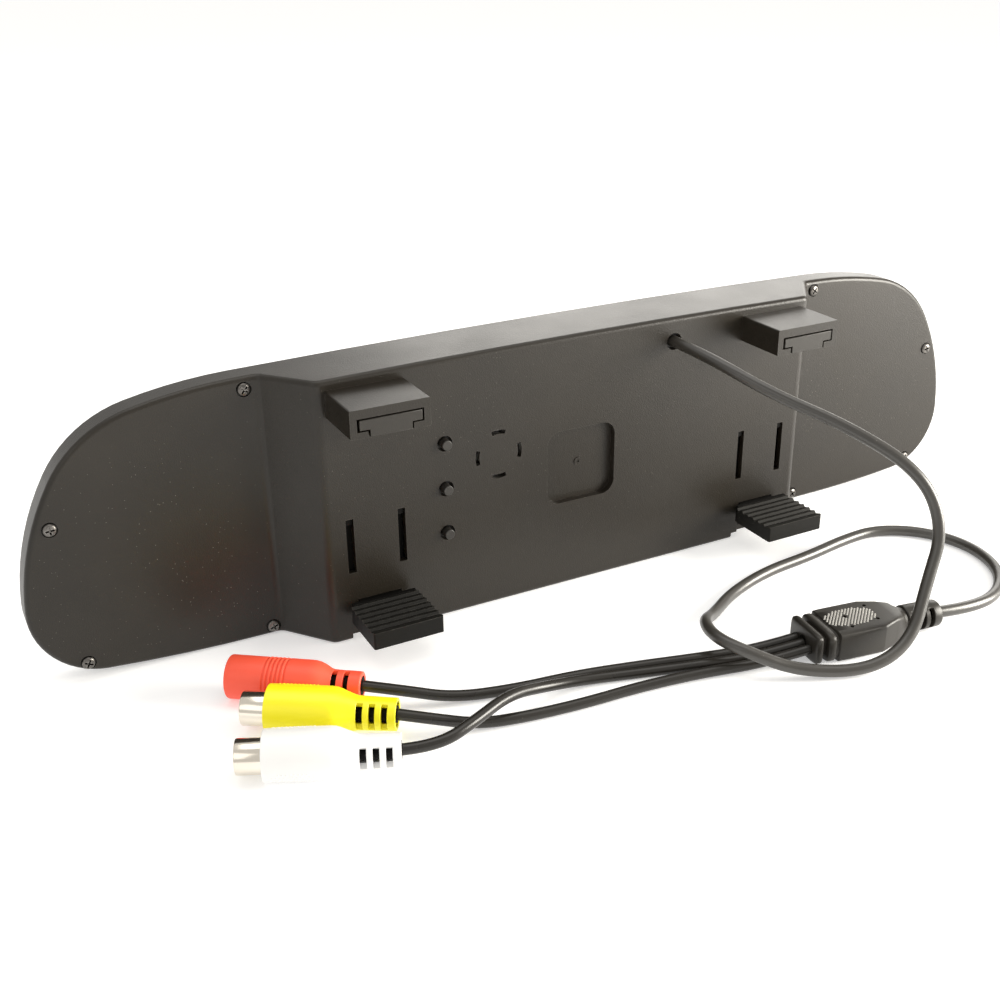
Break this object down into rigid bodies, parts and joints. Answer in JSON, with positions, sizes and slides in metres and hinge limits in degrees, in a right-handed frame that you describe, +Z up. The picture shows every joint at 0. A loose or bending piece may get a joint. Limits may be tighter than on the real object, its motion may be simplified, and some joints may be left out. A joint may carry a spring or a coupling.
{
  "type": "clip-on mirror monitor",
  "caption": "Clip-on rear-view mirror monitor for a reversing camera, with sprung mirror clips, push buttons and a lead to phono and power sockets.",
  "frame": {"origin": "under the middle of the monitor, on the surface that it stands on; the lead is left out of the middle", "axes": "+X along the monitor, -Y out of its back towards the hooks and clips, +Z up"},
  "size_m": [0.299, 0.1031, 0.0745],
  "materials": {
    "case_plastic": "fine-grained satin",
    "bezel_plastic": "fine-grained satin",
    "mirror_glass": "polished",
    "lcd_glass": "glossy",
    "light_guide": "glossy",
    "foam": "matt",
    "holder_steel": "brushed",
    "screw_steel": "satin",
    "board": "solder-resist gloss",
    "chip": "matt",
    "socket_plastic": "satin",
    "flex_film": "glossy film",
    "wire": "satin",
    "sounder_metal": "satin",
    "switch_metal": "satin",
    "switch_plunger": "satin",
    "button_plastic": "satin",
    "pad_rubber": "matt",
    "slider_plastic": "satin",
    "spring_steel": "bright",
    "cord_pvc": "satin",
    "white_pvc": "satin",
    "yellow_pvc": "satin",
    "red_pvc": "satin",
    "nickel": "bright nickel",
    "dc_plastic": "satin"
  },
  "bodies": {
    "case": {"board_screws": "screw_steel", "case_screws": "screw_steel", "clip_retainer_left": "socket_plastic", "clip_retainer_right": "socket_plastic", "clip_spring_left": "spring_steel", "clip_spring_right": "spring_steel", "cord_anchor": "cord_pvc", "cord_red": "cord_pvc", "cord_white": "cord_pvc", "cord_yellow": "cord_pvc", "dc_contact": "nickel", "dc_insert": "dc_plastic", "dc_pin": "nickel", "flex_socket": "socket_plastic", "front_bezel": "bezel_plastic", "hook_pad_left": "pad_rubber", "hook_pad_right": "pad_rubber", "inner_wires": "wire", "junction_block": "cord_pvc", "lcd_backlight": "light_guide", "lcd_flex": "flex_film", "lcd_gasket": "foam", "lcd_holder": "holder_steel", "lcd_holder_screws": "screw_steel", "lcd_panel": "lcd_glass", "lead_plug": "socket_plastic", "lead_socket": "socket_plastic", "main_board": "board", "main_cord": "cord_pvc", "mirror_glass": "mirror_glass", "power_parts": "chip", "rear_case": "case_plastic", "red_grip": "red_pvc", "retainer_screws": "screw_steel", "sounder": "sounder_metal", "tact_switches": "switch_metal", "video_chip": "chip", "white_barrel": "nickel", "white_contact": "nickel", "white_grip": "white_pvc", "white_insulator": "white_pvc", "yellow_barrel": "nickel", "yellow_contact": "nickel", "yellow_grip": "yellow_pvc", "yellow_insulator": "yellow_pvc"},
    "clip_left": {"clip_slider_left": "slider_plastic", "clip_pad_left": "pad_rubber"},
    "clip_right": {"clip_slider_right": "slider_plastic", "clip_pad_right": "pad_rubber"},
    "button_up": {"button_up": "button_plastic", "plunger_up": "switch_plunger"},
    "button_menu": {"button_menu": "button_plastic", "plunger_menu": "switch_plunger"},
    "button_down": {"button_down": "button_plastic", "plunger_down": "switch_plunger"}
  },
  "joints": [
    {"name": "clip_slide_left", "type": "slide", "parent": "case", "child": "clip_left", "axis": [0, 0, -1], "range_m": [0, 0.0135], "stiffness_N_per_m": 200, "springref_m": -0.015, "deforming": ["clip_spring_left"]},
    {"name": "clip_slide_right", "type": "slide", "parent": "case", "child": "clip_right", "axis": [0, 0, -1], "range_m": [0, 0.0135], "stiffness_N_per_m": 200, "springref_m": -0.015, "deforming": ["clip_spring_right"]},
    {"name": "button_press_up", "type": "slide", "parent": "case", "child": "button_up", "axis": [0, 1, 0], "range_m": [0, 0.0005], "stiffness_N_per_m": 600, "springref_m": -0.0005},
    {"name": "button_press_menu", "type": "slide", "parent": "case", "child": "button_menu", "axis": [0, 1, 0], "range_m": [0, 0.0005], "stiffness_N_per_m": 600, "springref_m": -0.0005},
    {"name": "button_press_down", "type": "slide", "parent": "case", "child": "button_down", "axis": [0, 1, 0], "range_m": [0, 0.0005], "stiffness_N_per_m": 600, "springref_m": -0.0005}
  ]
}
